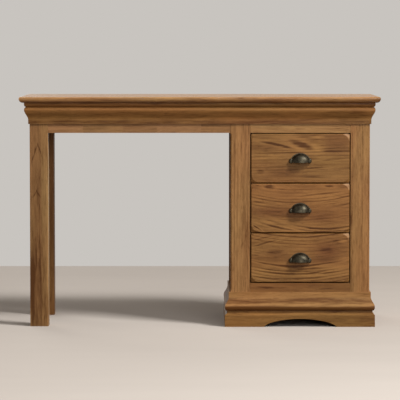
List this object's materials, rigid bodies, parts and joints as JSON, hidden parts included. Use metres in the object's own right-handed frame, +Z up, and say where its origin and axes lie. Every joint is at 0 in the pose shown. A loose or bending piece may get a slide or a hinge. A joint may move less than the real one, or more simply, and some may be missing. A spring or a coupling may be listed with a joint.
{
  "type": "dressing table",
  "caption": "Oak dressing table: a moulded top on two square legs and a pedestal of drawers with cup handles, on a plinth cut to an arch.",
  "frame": {"origin": "on the floor, below the middle of the table top's width and depth", "axes": "+X to the right of someone who faces the front, towards the pedestal's side; +Y to the back; +Z up"},
  "size_m": [1.22, 0.455, 0.7795],
  "materials": {
    "oak": "oak stained golden brown, satin lacquer",
    "drawer_box_oak": "planed oak with a thin clear seal",
    "panel_board": "oak-faced plywood with a thin clear seal",
    "aged_handle_metal": "cast metal, dark aged finish, satin",
    "steel_screw": "zinc plated steel"
  },
  "bodies": {
    "carcass": {"table_top": "oak", "cornice_front": "oak", "cornice_left": "oak", "cornice_right": "oak", "front_left_leg": "oak", "back_left_leg": "oak", "kneehole_front_rail": "oak", "kneehole_back_rail": "oak", "left_side_rail": "oak", "front_fixing_batten": "oak", "back_fixing_batten": "oak", "pedestal_left_stile": "oak", "pedestal_right_stile": "oak", "pedestal_top_rail": "oak", "pedestal_bottom_rail": "oak", "pedestal_left_side": "oak", "pedestal_right_side": "oak", "pedestal_back_top_rail": "oak", "pedestal_back_foot_rail": "oak", "pedestal_base_board": "panel_board", "pedestal_back_panel": "panel_board", "base_moulding_front": "oak", "base_moulding_left": "oak", "base_moulding_right": "oak", "plinth_front": "oak", "plinth_left": "oak", "plinth_right": "oak", "top_left_runner": "drawer_box_oak", "top_right_runner": "drawer_box_oak", "middle_left_runner": "drawer_box_oak", "middle_right_runner": "drawer_box_oak", "bottom_left_runner": "drawer_box_oak", "bottom_right_runner": "drawer_box_oak", "left_kicker": "drawer_box_oak", "right_kicker": "drawer_box_oak"},
    "top_drawer": {"top_drawer_front": "oak", "top_drawer_left_side": "drawer_box_oak", "top_drawer_right_side": "drawer_box_oak", "top_drawer_back": "drawer_box_oak", "top_drawer_bottom": "panel_board", "top_drawer_cup_handle": "aged_handle_metal", "top_drawer_left_handle_screw": "steel_screw", "top_drawer_right_handle_screw": "steel_screw"},
    "middle_drawer": {"middle_drawer_front": "oak", "middle_drawer_left_side": "drawer_box_oak", "middle_drawer_right_side": "drawer_box_oak", "middle_drawer_back": "drawer_box_oak", "middle_drawer_bottom": "panel_board", "middle_drawer_cup_handle": "aged_handle_metal", "middle_drawer_left_handle_screw": "steel_screw", "middle_drawer_right_handle_screw": "steel_screw"},
    "bottom_drawer": {"bottom_drawer_front": "oak", "bottom_drawer_left_side": "drawer_box_oak", "bottom_drawer_right_side": "drawer_box_oak", "bottom_drawer_back": "drawer_box_oak", "bottom_drawer_bottom": "panel_board", "bottom_drawer_cup_handle": "aged_handle_metal", "bottom_drawer_left_handle_screw": "steel_screw", "bottom_drawer_right_handle_screw": "steel_screw"}
  },
  "joints": [
    {"name": "top_drawer_slide", "type": "slide", "parent": "carcass", "child": "top_drawer", "axis": [0, -1, 0], "range_m": [0, 0.3]},
    {"name": "middle_drawer_slide", "type": "slide", "parent": "carcass", "child": "middle_drawer", "axis": [0, -1, 0], "range_m": [0, 0.3]},
    {"name": "bottom_drawer_slide", "type": "slide", "parent": "carcass", "child": "bottom_drawer", "axis": [0, -1, 0], "range_m": [0, 0.3]}
  ]
}
